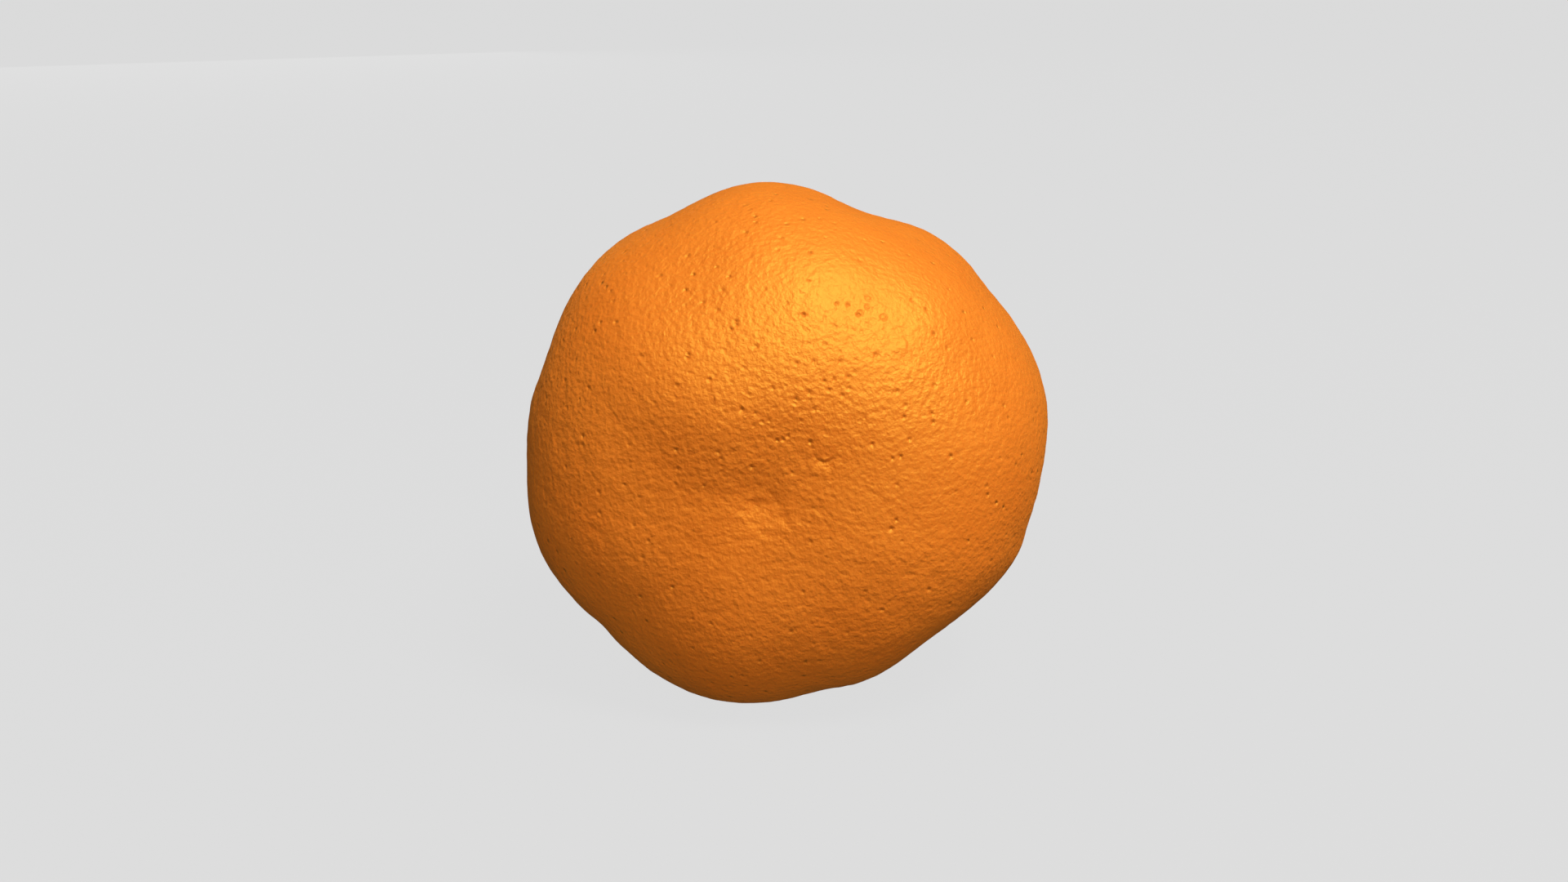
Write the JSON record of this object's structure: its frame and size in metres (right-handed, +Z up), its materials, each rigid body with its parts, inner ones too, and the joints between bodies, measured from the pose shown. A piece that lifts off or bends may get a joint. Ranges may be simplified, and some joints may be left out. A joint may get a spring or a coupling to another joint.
{
  "type": "mandarin",
  "caption": "Whole mandarin lying on its side on a small flat spot, with lobed flanks, a shallow basin at the blossom end and a finely pitted peel.",
  "frame": {"origin": "on the flat resting spot, under the middle of the core", "axes": "+Z up, +Y along the core from the blossom end to the stem end, +X to the right seen from the blossom end"},
  "size_m": [0.0639, 0.0511, 0.0625],
  "materials": {
    "peel": "waxy pitted fruit peel"
  },
  "bodies": {
    "root": {"mandarin": "peel"}
  },
  "joints": []
}
